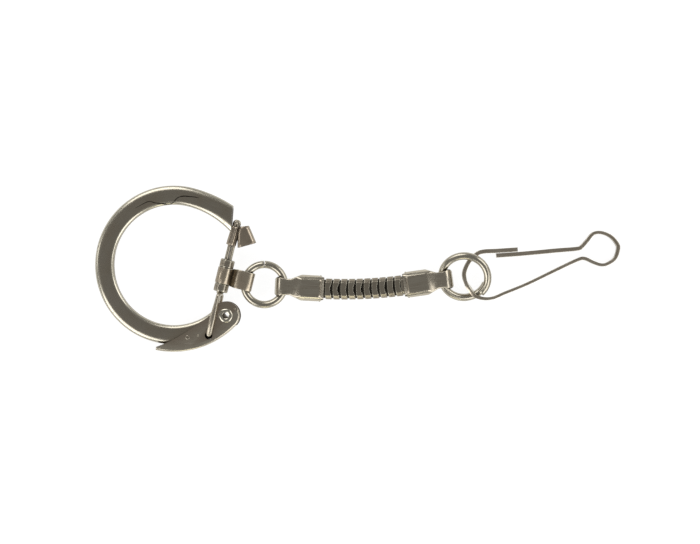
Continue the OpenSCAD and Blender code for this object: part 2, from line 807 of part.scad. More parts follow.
// Hook side jump ring: its two ends lap over one another
module jump_ring_b() {
    color(nickel)
        translate(ring_b_at)
            rotate([ring_b_tilt, 0, 0])
                scale([1, ring_b_w_share, 1]) {
                    lapped_arc(lap_from, 180, -lap_tilt, jump_r);
                    lapped_arc(180 - flare_lap, 360 + lap_to, lap_tilt, jump_r - flare_step);
                }
}

module hook_pose() {
    translate(ring_b_at)
        rotate([0, hook_sag, 0])
            children();
}

// Spring hook: the fixed run of the strip, from its short arm round the nose and the eye
module spring_hook() {
    path = strip_path(hook_body_shares, body_widths);
    bend = path[len(path) - 1];
    color(nickel_bright)
        hook_pose() {
            linear_extrude(strip_w, center = true)
                polygon(strip_outline(path));
            translate([bend[0], bend[1], 0])
                cylinder(h = strip_w, r = knuckle_r, center = true);
        }
}

// Spring arm: the run of the strip that gives way, from the bend to its free end
module spring_arm() {
    path = strip_path(arm_shares, arm_widths);
    color(nickel_bright)
        hook_pose()
            difference() {
                linear_extrude(strip_w, center = true)
                    polygon(strip_outline(path));
                translate([path[0][0], path[0][1], 0])
                    cylinder(h = strip_w + over, r = knuckle_r + bend_play, center = true);
            }
}

ring_body();
lever();
lever_eyelet();
gate_bail();
gate_catch();
swivel_sleeve();
link_strap();
jump_ring_a();
end_cap_a();
for (i = [1:link_count])
    chain_link(i);
end_cap_b();
jump_ring_b();
spring_hook();
spring_arm();
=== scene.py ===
import math
import random

import bmesh
import bpy
from mathutils import Matrix, Vector, noise


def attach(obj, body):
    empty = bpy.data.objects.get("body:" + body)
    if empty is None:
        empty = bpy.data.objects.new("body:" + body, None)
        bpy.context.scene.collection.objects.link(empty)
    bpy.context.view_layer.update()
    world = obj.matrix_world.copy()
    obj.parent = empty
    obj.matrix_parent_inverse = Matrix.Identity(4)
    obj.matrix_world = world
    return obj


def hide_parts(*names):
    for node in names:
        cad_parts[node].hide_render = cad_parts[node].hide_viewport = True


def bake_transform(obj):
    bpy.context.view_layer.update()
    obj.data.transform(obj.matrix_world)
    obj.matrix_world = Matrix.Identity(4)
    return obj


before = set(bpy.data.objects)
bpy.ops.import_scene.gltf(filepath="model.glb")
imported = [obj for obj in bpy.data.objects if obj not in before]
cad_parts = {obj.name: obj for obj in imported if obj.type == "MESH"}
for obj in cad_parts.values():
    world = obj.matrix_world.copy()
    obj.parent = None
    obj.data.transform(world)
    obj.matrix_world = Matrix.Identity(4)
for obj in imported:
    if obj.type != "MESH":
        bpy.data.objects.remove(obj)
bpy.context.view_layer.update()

random.seed(7)
mm = 0.001


# small helpers for places and paths, all in millimetres until a mesh is made

def direction(degrees):
    a = math.radians(degrees)
    return Vector((math.cos(a), math.sin(a), 0))


def move(x, y=0, z=0):
    return Matrix.Translation(Vector((x, y, z)) if not isinstance(x, Vector) else x)


def turn(degrees, axis):
    return Matrix.Rotation(math.radians(degrees), 4, axis)


def smoothPath(points, steps):
    # Catmull-Rom curve through the points, the same one as the CAD strip follows
    ends = [points[0] * 2 - points[1], *points, points[-1] * 2 - points[-2]]
    out = []
    for a, b, c, d in zip(ends, ends[1:], ends[2:], ends[3:]):
        for s in range(steps):
            t = s / steps
            bent = (2 * a - 5 * b + 4 * c - d) * t**2 + (3 * b - a - 3 * c + d) * t**3
            out.append(0.5 * (2 * b + (c - a) * t + bent))
    return out + [points[-1]]


def roundCorners(points, radius, steps=7):
    # each inner corner becomes a soft bend that starts and ends `radius` away from it
    out = [points[0]]
    for before, here, after in zip(points, points[1:], points[2:]):
        into, away = before - here, after - here
        reach = min(radius, into.length * 0.49, away.length * 0.49)
        a, b = here + into.normalized() * reach, here + away.normalized() * reach
        for s in range(steps + 1):
            t = s / steps
            out.append(a.lerp(here, t).lerp(here.lerp(b, t), t))
    return out + [points[-1]]


def stations(points, up=None, closed=False):
    # frames along a path: place, sideways, upwards, forwards and two scales
    count = len(points)
    forwards = []
    for i in range(count):
        a = points[(i - 1) % count] if closed or i else points[0]
        b = points[(i + 1) % count] if closed or i < count - 1 else points[-1]
        forwards.append((b - a).normalized())
    frames = []
    lift = up or forwards[0].orthogonal().normalized()
    for place, ahead in zip(points, forwards):
        if up is None:
            lift = (lift - ahead * lift.dot(ahead)).normalized()
        side = lift.cross(ahead).normalized()
        frames.append((place, side, lift, ahead, 1.0, 1.0))
    return frames


def shapedEnds(frames, steps, trim=0):
    # ends a run in `steps`, each a way past its end and a scale, in place of its last `trim` frames
    ends = []
    for (place, side, lift, ahead, _, _), sign in ((frames[0], -1), (frames[-1], 1)):
        ends.append([(place + ahead * sign * way, side, lift, ahead, size, size) for way, size in steps])
    return ends[0][::-1] + frames[trim:len(frames) - trim] + ends[1]


def boxProfile(width, height, corner, steps=3):
    # rounded rectangle with wear on its corners
    points = []
    for quarter in range(4):
        sx, sy = (1, 1, -1, -1)[quarter], (1, -1, -1, 1)[quarter]
        cx, cy = sx * (width / 2 - corner), sy * (height / 2 - corner)
        for s in range(steps + 1):
            a = math.radians((90, 0, -90, -180)[quarter] - 90 * s / steps)
            points.append((cx + corner * math.cos(a), cy + corner * math.sin(a), math.sin(math.pi * s / steps)))
    return points


def rolledProfile(width, height, outerReach, innerReach, drop, crown, steps=9, flats=10):
    # flat band whose edges roll over: each roll reaches in from its side and drops by `drop`
    points = []
    for quarter in range(4):
        sx, sy = (1, 1, -1, -1)[quarter], (1, -1, -1, 1)[quarter]
        reach = outerReach if sx > 0 else innerReach
        cx, cy = sx * (width / 2 - reach), sy * (height / 2 - drop)
        for s in range(steps + 1):
            a = math.radians((90, 0, -90, -180)[quarter] - 90 * s / steps)
            points.append((cx + reach * math.cos(a), cy + drop * math.sin(a), math.sin(math.pi * s / steps) ** 2))
        if quarter in (1, 3):
            run = width - outerReach - innerReach
            points += [(cx - sx * run * f / flats, sy * height / 2, 0.0) for f in range(1, flats)]
    middle, half = (innerReach - outerReach) / 2, (width - outerReach - innerReach) / 2
    sunk = []
    for x, y, w in points:
        away = min(1.0, abs(x - middle) / half)
        sunk.append((x, y - math.copysign(crown * away * away * min(1, abs(y) / (height / 2)), y), w))
    return sunk


def roundProfile(radius, count):
    return [
        (radius * math.cos(2 * math.pi * i / count), -radius * math.sin(2 * math.pi * i / count), 0.5)
        for i in range(count)
    ]


class Piece:
    # gathers runs of faces in millimetres, then becomes one mesh object that rides on a body
    def __init__(self, name, place=None):
        self.name = name
        self.place = place or Matrix.Identity(4)
        self.bm = bmesh.new()
        # the wear layer holds rubbed edges and painted highlights, and below zero painted shade
        self.wear = self.bm.verts.layers.float.new("wear")
        self.run = self.bm.verts.layers.float_vector.new("run")

    def point(self, co, wear=0.0, run=(0, 0, 0)):
        v = self.bm.verts.new(self.place @ Vector(co))
        v[self.wear] = wear
        v[self.run] = run
        return v

    def grid(self, rows, closed=False):
        # rings of points become quads; `closed` also joins the last ring to the first
        count, across = len(rows), len(rows[0])
        for i in range(count if closed else count - 1):
            a, b = rows[i], rows[(i + 1) % count]
            for j in range(across):
                k = (j + 1) % across
                self.bm.faces.new((a[j], a[k], b[k], b[j]))

    def caps(self, rows):
        self.bm.faces.new(rows[0][::-1])
        self.bm.faces.new(rows[-1])

    def sweep(self, frames, profile, closed=False):
        # a section carried along a path; its run is the way along and the way round
        lengths = [0.0]
        for a, b in zip(profile, profile[1:]):
            lengths.append(lengths[-1] + math.dist(a[:2], b[:2]))
        rows, along, before = [], 0.0, frames[0][0]
        for place, side, lift, ahead, wide, high in frames:
            along += (place - before).length
            before = place
            rows.append([
                self.point(place + side * x * wide + lift * y * high, w, (along, length, 0))
                for (x, y, w), length in zip(profile, lengths)
            ])
        self.grid(rows, closed)
        if not closed:
            self.caps(rows)
        return rows

    def turned(self, at, profile, count, shape=None):
        # a closed section (radius, height, wear) turned about the z axis of `at`
        rows = []
        for i in range(count):
            a = 2 * math.pi * i / count
            grow = shape(a) if shape else 1.0
            rows.append([
                self.point(at @ Vector((r * grow * math.cos(a), r * grow * math.sin(a), h)), w, (r * a, h, 0))
                for r, h, w in profile
            ])
        self.grid(rows, closed=True)

    def finish(self, body, material, slot, *nodes, sharp=40):
        bmesh.ops.recalc_face_normals(self.bm, faces=self.bm.faces)
        for face in self.bm.faces:
            face.smooth = True
        for edge in self.bm.edges:
            edge.smooth = len(edge.link_faces) != 2 or edge.calc_face_angle(0) < math.radians(sharp)
        mesh = bpy.data.meshes.new(self.name)
        self.bm.to_mesh(mesh)
        self.bm.free()
        mesh.transform(Matrix.Scale(mm, 4))
        obj = bpy.data.objects.new(self.name, mesh)
        bpy.context.scene.collection.objects.link(obj)
        mesh.materials.append(material)
        if nodes:
            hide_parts(*nodes)
        if body:
            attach(obj, body)
        print("made", self.name, len(mesh.polygons), "faces")
        return obj


def softened(piece, node, passes, home):
    # takes the solid's surface from the CAD node, merges its triangles and rounds its edges;
    # each pass is a width, segments, the least fold that it rounds, a test of an edge's middle and its wear
    bm = bmesh.new()
    bm.from_mesh(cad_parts[node].data)
    bmesh.ops.scale(bm, vec=Vector((1 / mm,) * 3), verts=bm.verts)
    bmesh.ops.remove_doubles(bm, verts=bm.verts, dist=0.0005)
    bmesh.ops.dissolve_limit(bm, angle_limit=math.radians(0.6), verts=bm.verts, edges=bm.edges)
    back = home.inverted()
    worn = bm.verts.layers.float.new("worn")
    for width, segments, over, test, rub in passes:
        edges = [
            e for e in bm.edges
            if len(e.link_faces) == 2 and e.calc_face_angle_signed(0) > math.radians(over)
            and not any(v[worn] for v in e.verts) and test(back @ ((e.verts[0].co + e.verts[1].co) / 2))
        ]
        made = bmesh.ops.bevel(
            bm, geom=edges, offset=width, segments=segments, profile=0.5, affect="EDGES", clamp_overlap=width < 0.09,
            offset_type="OFFSET",
        )
        for f in made["faces"]:
            for v in f.verts:
                v[worn] = rub
    swap = {}
    for v in bm.verts:
        swap[v] = piece.bm.verts.new(v.co)
        swap[v][piece.wear] = v[worn]
        swap[v][piece.run] = back @ v.co
    for f in bm.faces:
        try:
            piece.bm.faces.new([swap[v] for v in f.verts])
        except ValueError:
            pass
    bm.free()


def anywhere(at):
    return True


# shader helpers

class Signal:
    # a socket whose sums and products add Math nodes
    def __init__(self, board, socket):
        self.board, self.socket = board, socket

    def maths(self, operation, other, swapped=False):
        pair = (other, self) if swapped else (self, other)
        return self.board.node("ShaderNodeMath", {"operation": operation}, dict(enumerate(pair)))

    def __add__(self, other): return self.maths("ADD", other)
    def __radd__(self, other): return self.maths("ADD", other, True)
    def __sub__(self, other): return self.maths("SUBTRACT", other)
    def __rsub__(self, other): return self.maths("SUBTRACT", other, True)
    def __mul__(self, other): return self.maths("MULTIPLY", other)
    def __rmul__(self, other): return self.maths("MULTIPLY", other, True)


class Board:
    # one node tree; node() makes any node, sets it up and joins or fills its sockets
    def __init__(self, tree):
        self.tree = tree
        tree.nodes.clear()

    def node(self, kind, settings=None, sockets=None, output=0):
        made = self.tree.nodes.new(kind)
        for key, value in (settings or {}).items():
            if key == "stops":
                ramp = made.color_ramp.elements
                while len(ramp) < len(value):
                    ramp.new(0.5)
                for element, (spot, colour) in zip(ramp, value):
                    element.position = spot
                    element.color = (*colour, 1) if isinstance(colour, tuple) else (colour, colour, colour, 1)
            else:
                setattr(made, key, value)
        for key, value in (sockets or {}).items():
            if isinstance(value, Signal):
                self.tree.links.new(value.socket, made.inputs[key])
            else:
                made.inputs[key].default_value = value
        return Signal(self, made.outputs[output])

    def mix(self, factor, a, b):
        return self.node("ShaderNodeMix", {"data_type": "RGBA"}, {0: factor, 6: a, 7: b}, 2)

    def scaled(self, vector, scales):
        return self.node("ShaderNodeVectorMath", {"operation": "MULTIPLY"}, {0: vector, 1: scales})

    def spread(self, value, ends, low=0.0, high=1.0):
        # stretches the part of a value between two ends to low and high
        return self.node("ShaderNodeMapRange", {}, {0: value, 1: ends[0], 2: ends[1], 3: low, 4: high})

    def noise(self, vector, scale, detail, roughness):
        return self.node(
            "ShaderNodeTexNoise", {}, {"Vector": vector, "Scale": scale, "Detail": detail, "Roughness": roughness}
        )

    def output(self, kind, surface):
        self.tree.links.new(surface.socket, self.tree.nodes.new(kind).inputs[0])


def colour(r, g, b):
    # a colour written as it shows on screen
    return tuple(((v / 255 + 0.055) / 1.055) ** 2.4 if v > 10 else v / 255 / 12.92 for v in (r, g, b)) + (1.0,)


def nickelFinish(name, look):
    # plated steel: drawn streaks along the piece, cloudy tarnish, rubbed edges that also carry painted highlights,
    # painted shade from occlusion in the corners;
    # painted shade darkens the sides of a piece against its top, and a negative wear paints shade into creases and
    # hollows
    material = bpy.data.materials.new(name)
    material.use_nodes = True
    board = Board(material.node_tree)
    run = board.node("ShaderNodeAttribute", {"attribute_name": "run"}, output=1)
    wear = board.node("ShaderNodeAttribute", {"attribute_name": "wear"}, output=2)
    place = board.scaled(board.node("ShaderNodeTexCoord", output=3), (1 / mm,) * 3)
    cloud = board.noise(place, look["cloudScale"], 5, 0.6)
    speck = board.noise(place, look["speckScale"], 2, 0.5)
    streak = board.noise(board.scaled(run, look["streakStretch"]), 1.0, 4, 0.65)
    # painted shade: ambient occlusion darkens corners, gaps and hollows towards the dark grime colour
    openness = board.node("ShaderNodeAmbientOcclusion", {"samples": 6}, {"Distance": look["occlusionShadeReach"] * mm}, 1)
    grimeAndShade = board.spread(openness, look["occlusionShadeRange"], 1.0, 0.0)
    patch = board.spread(cloud, look["cloudRange"])
    pit = board.spread(speck, look["pitRange"])
    line = board.spread(streak, look["streakRange"])
    # positive wear: rubbed edges, and painted highlights where a piece sets it for them; negative wear: painted
    # shade, mixed towards the dark grime colour
    rubbedAndSheen = wear.maths("MAXIMUM", 0.0) * (0.55 + 0.45 * line)
    paintedShadeMark = (0.0 - wear).maths("MAXIMUM", 0.0)
    # painted shade: sides whose normals lie flat are mixed towards the shade colour, darker than the tops
    upright = board.node("ShaderNodeSeparateXYZ", {}, {0: board.node("ShaderNodeTexCoord", output=1)}, 2)
    lying = board.node("ShaderNodeMath", {"operation": "ABSOLUTE"}, {0: upright})
    side = board.spread(lying, look["sideShadeRange"], 1.0, 0.0)
    tone = board.mix(patch, look["plate"], look["tarnish"])
    tone = board.mix(side * look["sideShadeTone"], tone, look["shade"])
    tone = board.mix(line * look["streakTone"], tone, look["dull"])
    tone = board.mix(rubbedAndSheen * look["wearSheenTone"], tone, look["bright"])
    tone = board.mix(pit * look["pitTone"], tone, look["grimeAndShade"])
    tone = board.mix(grimeAndShade * look["occlusionShadeTone"], tone, look["grimeAndShade"])
    tone = board.mix(paintedShadeMark, tone, look["grimeAndShade"])
    rough = look["rough"] + patch * look["patchRough"] + line * look["streakRough"] - rubbedAndSheen * look["wearSmooth"]
    rough = rough + grimeAndShade * look["occlusionRough"] + pit * look["pitRough"]
    height = streak * look["streakDepth"] + cloud * look["cloudDepth"] - pit * look["pitDepth"]
    bump = board.node(
        "ShaderNodeBump", {}, {"Strength": look["bump"], "Distance": look["relief"] * mm, "Height": height}
    )
    board.output("ShaderNodeOutputMaterial", board.node("ShaderNodeBsdfPrincipled", {}, {
        "Base Color": tone, "Metallic": 1.0, "Roughness": rough, "Normal": bump,
    }))
    return material


plainLook = {
    "plate": colour(190, 182, 166), "tarnish": colour(168, 158, 140), "dull": colour(150, 140, 124),
    "bright": colour(232, 227, 208), "grimeAndShade": colour(34, 29, 24), "shade": colour(104, 95, 80), "sideShadeTone": 0.75,
    "cloudScale": 0.35, "speckScale": 3.2, "streakStretch": (0.25, 9.0, 9.0),
    "cloudRange": (0.38, 0.66), "pitRange": (0.66, 0.74), "streakRange": (0.40, 0.62),
    "occlusionShadeRange": (0.25, 0.85), "sideShadeRange": (0.55, 0.95),
    "streakTone": 0.5, "wearSheenTone": 0.8, "pitTone": 0.6, "occlusionShadeReach": 0.55, "occlusionShadeTone": 0.8,
    "rough": 0.2, "patchRough": 0.07, "streakRough": 0.06, "wearSmooth": 0.06, "occlusionRough": 0.25, "pitRough": 0.2,
    "streakDepth": 0.5, "cloudDepth": 1.5, "pitDepth": 0.4, "bump": 0.35, "relief": 0.02,
}


def finish(name, **changes):
    return nickelFinish(name, {**plainLook, **changes})


bandNickel = finish("bandNickel", streakStretch=(0.3, 7.0, 7.0), cloudScale=0.22, cloudDepth=2.0, bump=0.25)
leverNickel = finish(
    "leverNickel", plate=colour(190, 174, 154), tarnish=colour(172, 156, 138), cloudScale=0.5, bump=0.2,
)
eyeletNickel = finish("eyeletNickel", plate=colour(205, 198, 182), rough=0.16)
wireNickel = finish("wireNickel", streakStretch=(0.4, 14.0, 14.0), rough=0.18)
gateNickel = finish(
    "gateNickel", plate=colour(184, 168, 148), streakStretch=(0.4, 10.0, 10.0), rough=0.28, occlusionShadeTone=0.5,
)
catchNickel = finish("catchNickel", plate=colour(212, 195, 173), tarnish=colour(172, 156, 138), bump=0.25)
sleeveNickel = finish("sleeveNickel", streakStretch=(0.5, 4.0, 4.0), rough=0.22, bump=0.08, cloudDepth=0.8)
strapNickel = finish(
    "strapNickel", plate=colour(222, 208, 184), tarnish=colour(198, 182, 160), rough=0.22, bump=0.3, occlusionShadeTone=0.25,
)
capNickel = finish("capNickel", plate=colour(178, 162, 142), tarnish=colour(162, 147, 129), rough=0.18, bump=0.25)
linkNickel = finish("linkNickel", plate=colour(190, 181, 163))
stripNickel = finish(
    "stripNickel", plate=colour(236, 224, 204), tarnish=colour(196, 182, 162), streakStretch=(0.35, 12.0, 12.0),
    rough=0.18,
)
print("finishes mixed")


# studio: the camera looks straight down on a pale table

studio = {
    "frameWidth": 140.0, "aim": (35.1, -1.4), "cameraHeight": 620.0,  # what the picture takes in, millimetres
    "zenith": 0.222, "side": 0.34,  # light of the room overhead and at the horizon
    "tableTop": 0.93, "backdropShare": 0.74, "backdropGlow": 1.2,
    "tableSides": 64, "tableRings": [(0.05, 0), (0.3, 0), (1.5, 0), (3.0, -0.02)],  # radius and height, metres
    "lamps": [  # direction, height angle, distance, size, strength, and a tint where it has one
        (118, 36, 520, 370, 1.95),
        (219, 36, 520, 400, 2.0),
        (311, 34, 520, 420, 1.75),
        (32, 34, 520, 330, 1.7),
        (352, 40, 520, 220, 1.5),
        (172, 26, 520, 150, 1.5),
        (268, 12, 520, 200, 1.9, (1.0, 0.98, 0.76)),
    ],
}


def makeStudio():
    scene = bpy.context.scene
    camera = bpy.data.objects.new("camera", bpy.data.cameras.new("camera"))
    camera.data.lens = camera.data.sensor_width * studio["cameraHeight"] / studio["frameWidth"]
    camera.location = Vector((*studio["aim"], studio["cameraHeight"])) * mm
    camera.data.clip_start, camera.data.clip_end = 0.01, 10
    scene.collection.objects.link(camera)
    scene.camera = camera
    scene.view_settings.view_transform = "Standard"

    world = bpy.data.worlds.new("room")
    scene.world = world
    world.use_nodes = True
    board = Board(world.node_tree)
    split = board.node("ShaderNodeSeparateXYZ", {}, {0: board.node("ShaderNodeTexCoord", output=0)}, 2)
    room = board.node("ShaderNodeValToRGB", {"stops": [
        (0.0, studio["side"]), (0.45, studio["side"]), (0.82, studio["side"] * 0.62), (0.97, studio["zenith"]),
    ]}, {0: split})
    board.output("ShaderNodeOutputWorld", board.node("ShaderNodeBackground", {}, {0: room, 1: 1.0}))

    for number, (heading, height, distance, size, radiance, *tint) in enumerate(studio["lamps"]):
        lamp = bpy.data.objects.new(f"softbox{number + 1}", bpy.data.lights.new(f"softbox{number + 1}", "AREA"))
        lamp.data.shape = "DISK"
        if tint:
            lamp.data.color = tint[0]
        lamp.visible_camera = False
        lamp.data.size = size * mm
        lamp.data.energy = radiance * math.pi**2 * (size * mm / 2) ** 2
        aim = Vector((*studio["aim"], 0))
        out = direction(heading) * math.cos(math.radians(height)) + Vector((0, 0, math.sin(math.radians(height))))
        lamp.location = (aim + out * distance) * mm
        lamp.rotation_euler = out.to_track_quat("Z", "Y").to_euler()
        scene.collection.objects.link(lamp)

    # a wide pale table that falls away a little at its rim, far outside the view
    bm = bmesh.new()
    sides = studio["tableSides"]
    rounds = [
        [bm.verts.new(r * direction(360 * i / sides) + Vector((0, 0, h))) for i in range(sides)]
        for r, h in studio["tableRings"]
    ]
    for a, b in zip(rounds, rounds[1:]):
        for i in range(sides):
            bm.faces.new((a[i], b[i], b[(i + 1) % sides], a[(i + 1) % sides]))
    bm.faces.new(rounds[0])
    mesh = bpy.data.meshes.new("table")
    bm.to_mesh(mesh)
    bm.free()
    table = bpy.data.objects.new("table", mesh)
    scene.collection.objects.link(table)
    paper = bpy.data.materials.new("paleTable")
    paper.use_nodes = True
    board = Board(paper.node_tree)
    level = studio["tableTop"]
    matte = board.node("ShaderNodeBsdfDiffuse", {}, {0: (level, level, level, 1)})
    glow = board.node("ShaderNodeEmission", {}, {0: (1, 1, 1, 1), 1: studio["backdropGlow"]})
    rays = board.node("ShaderNodeLightPath").socket.node.outputs
    seen = Signal(board, rays["Is Camera Ray"]) + Signal(board, rays["Is Glossy Ray"])
    seen = seen + Signal(board, rays["Is Transmission Ray"])
    share = (seen * studio["backdropShare"]).maths("MINIMUM", 1.0)
    board.output("ShaderNodeOutputMaterial", board.node("ShaderNodeMixShader", {}, {0: share, 1: matte, 2: glow}))
    mesh.materials.append(paper)
    print("studio set")


makeStudio()


# where the pieces stand; the values are the CAD's own

clasp = {
    "ringR": 15.8, "bandW": 3.8, "bandH": 2.0, "bandWall": 0.35, "edgeR": 0.7,
    "flareR": 27.0, "flareA": 75.0, "mouthGap": 0.65, "mouthLean": 4.6,
    "pivotA": -43.7, "pivotInset": 1.27, "footA": -63.1, "footInset": 0.1,
    "gateLean": 13.9, "gateLen": 0.7475 * 31.6, "capH": 5.2,
}
midZ = clasp["capH"] / 2
ringMid = clasp["ringR"] - clasp["bandW"] / 2
pivot = (clasp["ringR"] - clasp["pivotInset"]) * direction(clasp["pivotA"])
foot = (clasp["ringR"] - clasp["footInset"]) * direction(clasp["footA"])
claspTilt = math.degrees(math.asin((midZ - clasp["bandH"] / 2) / (clasp["ringR"] - clasp["edgeR"] + foot.x)))
claspPlace = move(foot.x, 0, midZ) @ turn(-claspTilt, "Y") @ move(-foot.x)
gatePlace = claspPlace @ move(foot) @ turn(-clasp["gateLean"], "Z")
mouthY = ringMid * math.sin(math.radians(clasp["pivotA"])) + clasp["ringR"]
mouthX = foot.x + (mouthY - foot.y) * math.tan(math.radians(clasp["gateLean"])) - clasp["mouthGap"]


# key ring: hollow rolled band with a seam inside, an open mouth and a solid end

band = {
    "outerRoll": 1.1, "innerRoll": 0.85, "drop": 0.72, "crown": 0.02, "ripple": 0.012, "seam": (0.09, 0.16),
    "mouthRoll": 1.55, "mouthLoss": 0.45, "mouthPower": 1.6, "spread": 0.72,  # how the section opens to the mouth
    "hollow": (0.3, 1.1, 0.35), "hollowStep": 0.06, "steps": (150, 24), "eyeletR": 0.85,
    "crease": [  # a dark fold in the sheet on top of the flare: place, half width
        (-7.6, 11.35, 0.03), (-6.2, 12.1, 0.10), (-4.9, 12.65, 0.13), (-3.6, 12.35, 0.10), (-2.5, 12.2, 0.13),
        (-1.1, 12.05, 0.09), (-0.2, 12.3, 0.10), (0.45, 13.0, 0.13), (1.0, 13.45, 0.12), (2.0, 13.7, 0.19),
        (3.1, 13.62, 0.17), (4.2, 13.52, 0.13), (5.2, 13.3, 0.05),
    ],
}


def makeRing():
    piece = Piece("keyRingBand", claspPlace)
    radius, width, height = clasp["ringR"], clasp["bandW"], clasp["bandH"]
    flareAt = (radius - clasp["flareR"]) * direction(clasp["flareA"])

    def section(opened):
        inner = band["innerRoll"] + (band["mouthRoll"] - band["innerRoll"]) * opened
        outer = band["outerRoll"] * (1 - band["mouthLoss"] * opened)
        points = rolledProfile(width, height, outer, inner, band["drop"], band["crown"])
        half, deep = band["seam"]
        out = []
        for (x, y, w), (nx, ny, _) in zip(points, points[1:] + points[:1]):
            out.append((x, y, w))
            if x < 0 and nx < 0 and y * ny < 0:  # the seam runs round the middle of the inner side
                out += [(x, -half, 0.3), (x + deep, 0.04 - half, 0), (x + deep, half - 0.04, 0), (x, half, 0.3)]
        return out

    def mouthTurn(r):
        # where a line of the flare meets the leaning cut
        a = math.radians(50)
        lean = math.tan(math.radians(clasp["mouthLean"]))
        for _ in range(30):
            miss = flareAt.x + r * math.cos(a) - mouthX - (flareAt.y + r * math.sin(a) - mouthY) * lean
            a += miss / (r * math.sin(a) + r * math.cos(a) * lean)
        return a

    def row(profile, share, onFlare):
        # share runs 0 to 1 along the round part or along the flare
        out, length, middle = [], 0.0, width / 2
        for x, y, w in profile:
            if onFlare:
                r = clasp["flareR"] - width / 2 + x
                r -= band["spread"] * share**2 * (middle - x) / width
                a = math.radians(clasp["flareA"]) * (1 - share) + mouthTurn(r) * share
                centre = flareAt
            else:
                r = ringMid + x
                a = math.radians(360 + clasp["pivotA"] + (clasp["flareA"] - 360 - clasp["pivotA"]) * share)
                centre = Vector((0, 0, 0))
            ripple = band["ripple"] * noise.noise(Vector((a * 3.1, y * 0.6, x * 0.4))) * (1 if share else 0)
            out.append(piece.point(
                centre + Vector(((r + ripple) * math.cos(a), (r + ripple) * math.sin(a), y)), w, (r * a, length, 0)
            ))
            length += 0.2
        return out

    about, along = band["steps"]
    rows = [row(section(0), s / about, False) for s in range(about)]
    rows += [row(section((s / along) ** band["mouthPower"]), s / along, True) for s in range(along + 1)]
    piece.grid(rows)
    piece.bm.faces.new(rows[0][::-1])
    # the rolled sheet shows its edge at the open mouth, and the hollow behind it, which is painted dark as shade
    wall = clasp["bandWall"]
    inner = rolledProfile(width - 2 * wall, height - 2 * wall, *band["hollow"], 0.0)
    hollow = [
        row([(x, y, -0.6 * (i > 0)) for x, y, _ in inner], 1 - band["hollowStep"] * i, True) for i in range(9)
    ]
    piece.grid(hollow)
    piece.bm.faces.new(hollow[-1])
    bmesh.ops.bridge_loops(piece.bm, edges=[
        e for loop in (rows[-1], hollow[0]) for e in
        (piece.bm.edges.get((a, b)) for a, b in zip(loop, loop[1:] + loop[:1])) if e
    ])
    # solid end, pierced for the eyelet
    middle = ringMid * direction(clasp["pivotA"])
    rows = []
    for i in range(48):
        spoke = direction(360 * i / 48)
        lip, rim = pivot + band["eyeletR"] * spoke, middle + width / 2 * spoke
        line = []
        for share, high, w in ((0, 1, 0), (0.9, 1, 0), (1, 0.9, 1), (1, -0.9, 1), (0.9, -1, 0), (0, -1, 0)):
            p = lip.lerp(rim, share)
            line.append(piece.point((p.x, p.y, high * height / 2), w, (i / 8, share, 0)))
        rows.append(line)
    piece.grid(rows, closed=True)
    # the crease: a thin ridge half sunk in the top face, painted dark as the shade in the fold
    path = smoothPath([Vector(p) for p in band["crease"]], 3)
    top = height / 2 + 0.012
    rows = []
    for i, p in enumerate(path):
        ahead = (path[min(i + 1, len(path) - 1)] - path[max(i - 1, 0)]).to_2d().normalized()
        side = Vector((-ahead.y, ahead.x, 0))
        wide = p.z * (0.8 + 0.5 * noise.noise(Vector((i * 0.7, 0, 3))))
        rows.append([
            piece.point(Vector((p.x, p.y, top - sink)) + side * wide * across, -1.0, (i * 0.2, across, 0))
            for across, sink in ((-1, 0.05), (-0.6, 0), (0.6, 0), (1, 0.05), (0, 0.12))
        ])
    piece.grid(rows)
    piece.caps(rows)
    piece.finish("key_ring", bandNickel, "ring_band", "ring_body")


makeRing()


# lever: one sheet folded over the ring

lever = {
    "rimRoll": 0.5, "edgeRoll": 0.06,
    "rimOut": 1.4, "rimZ": 1.4, "headR": (2.7, 2.9),  # where the outer rim lies: past the ring, and round the head
    "dents": [(2.9, -14.4, 0.42), (4.9, -14.0, 0.22), (12.3, -8.75, 0.2)],  # place and size of marks in the cheek
}


def makeLever():
    piece = Piece("leverSheet")

    def onRim(at):
        out, head = at.to_2d().length - clasp["ringR"], (at - pivot).to_2d().length
        low, high = lever["headR"]
        return abs(at.z) > lever["rimZ"] and (out > lever["rimOut"] or low < head < high and out > 0)

    softened(piece, "lever", [
        (lever["rimRoll"], 5, 25, onRim, 0.8), (lever["edgeRoll"], 2, 25, anywhere, 0.1),
    ], claspPlace)
    for x, y, size in lever["dents"]:
        piece.turned(claspPlace @ move(x, y), [
            (0.02, 1.49, -0.8), (size * 0.45, 1.505, -0.6), (size * 0.8, 1.525, 1), (size, 1.49, 0.2), (0.02, 1.4, 0),
        ], 20)
    piece.finish("lever", leverNickel, "lever_sheet", "lever", sharp=30)


makeLever()


# lever eyelet: rolled flanges

eyelet = {"boreR": 0.6, "barrelR": 0.8, "flangeR": 1.4, "cheek": 1.5, "rise": 0.18, "crimp": 0.02}


def makeEyelet():
    e = eyelet
    piece = Piece("leverEyelet")
    half = [(e["boreR"], e["cheek"] - 0.1, 0.2)]
    for s in range(9):  # the roll swells out of the bore and turns down onto the cheek
        t = s / 8
        r = e["boreR"] + 0.03 + (e["flangeR"] - e["boreR"] - 0.03) * t
        h = e["cheek"] + e["rise"] * math.sin(math.pi * (0.12 + 0.88 * t)) ** 0.6 if t < 1 else e["cheek"]
        half.append((r, h, 0.5 + 0.5 * math.sin(math.pi * t)))
    half.append((e["barrelR"], e["cheek"], 0))
    profile = half + [(r, -h, w) for r, h, w in half[::-1]]
    piece.turned(claspPlace @ move(pivot), profile, 60, lambda a: 1 + e["crimp"] * math.cos(6 * a))
    piece.finish("lever", eyeletNickel, "eyelet", "lever_eyelet", sharp=50)


makeEyelet()


# gate: a wire hairpin

